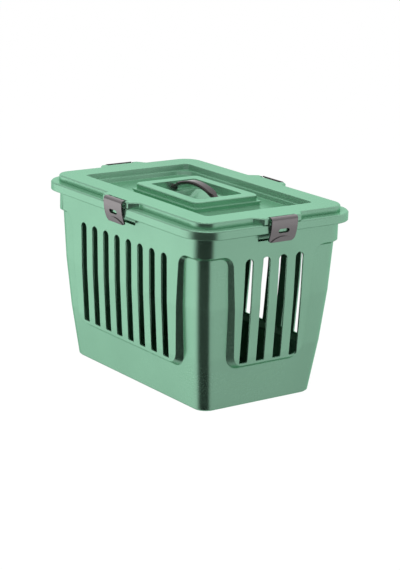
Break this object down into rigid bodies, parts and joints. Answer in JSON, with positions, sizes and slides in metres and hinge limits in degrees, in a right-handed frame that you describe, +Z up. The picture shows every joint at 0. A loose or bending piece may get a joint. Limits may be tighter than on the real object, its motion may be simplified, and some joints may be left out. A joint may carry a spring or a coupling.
{
  "type": "pet carrier",
  "caption": "Top-opening pet carrier: slotted tub with a rolled rim, lift-off lid with a sunk well, side clips that hook under the rim, and a folding carrying handle.",
  "frame": {"origin": "middle of the base's flat underside, on the surface that the carrier stands on", "axes": "+Z up, X along the long sides, -Y is the front long side in the picture, +X is the right end"},
  "size_m": [0.4434, 0.31, 0.3067],
  "materials": {
    "green_plastic": "satin moulded",
    "clip_plastic": "satin moulded",
    "dark_gloss_plastic": "gloss",
    "pin_plastic": "plain"
  },
  "bodies": {
    "tub": {"tub": "green_plastic"},
    "lid": {"lid": "green_plastic", "handle_housing": "green_plastic", "handle_pin_left": "pin_plastic", "handle_pin_right": "pin_plastic", "clip_pin_front": "pin_plastic", "clip_pin_back": "pin_plastic", "clip_pin_left": "pin_plastic", "clip_pin_right": "pin_plastic"},
    "handle": {"handle": "dark_gloss_plastic"},
    "clip_front": {"clip_front": "clip_plastic"},
    "clip_back": {"clip_back": "clip_plastic"},
    "clip_left": {"clip_left": "clip_plastic"},
    "clip_right": {"clip_right": "clip_plastic"}
  },
  "joints": [
    {"name": "lid_lift", "type": "slide", "parent": "tub", "child": "lid", "axis": [0, 0, 1], "range_m": [0, 0.2]},
    {"name": "handle_fold", "type": "hinge", "parent": "lid", "child": "handle", "pos_m": [0, 0, 0.2873], "axis": [1, 0, 0], "range_deg": [-85, 85]},
    {"name": "clip_front_hinge", "type": "hinge", "parent": "lid", "child": "clip_front", "pos_m": [0, -0.1496, 0.2913], "axis": [-1, 0, 0], "range_deg": [0, 100]},
    {"name": "clip_back_hinge", "type": "hinge", "parent": "lid", "child": "clip_back", "pos_m": [0, 0.1496, 0.2913], "axis": [1, 0, 0], "range_deg": [0, 100]},
    {"name": "clip_left_hinge", "type": "hinge", "parent": "lid", "child": "clip_left", "pos_m": [-0.2163, 0, 0.2913], "axis": [0, 1, 0], "range_deg": [0, 100]},
    {"name": "clip_right_hinge", "type": "hinge", "parent": "lid", "child": "clip_right", "pos_m": [0.2163, 0, 0.2913], "axis": [0, -1, 0], "range_deg": [0, 100]}
  ]
}
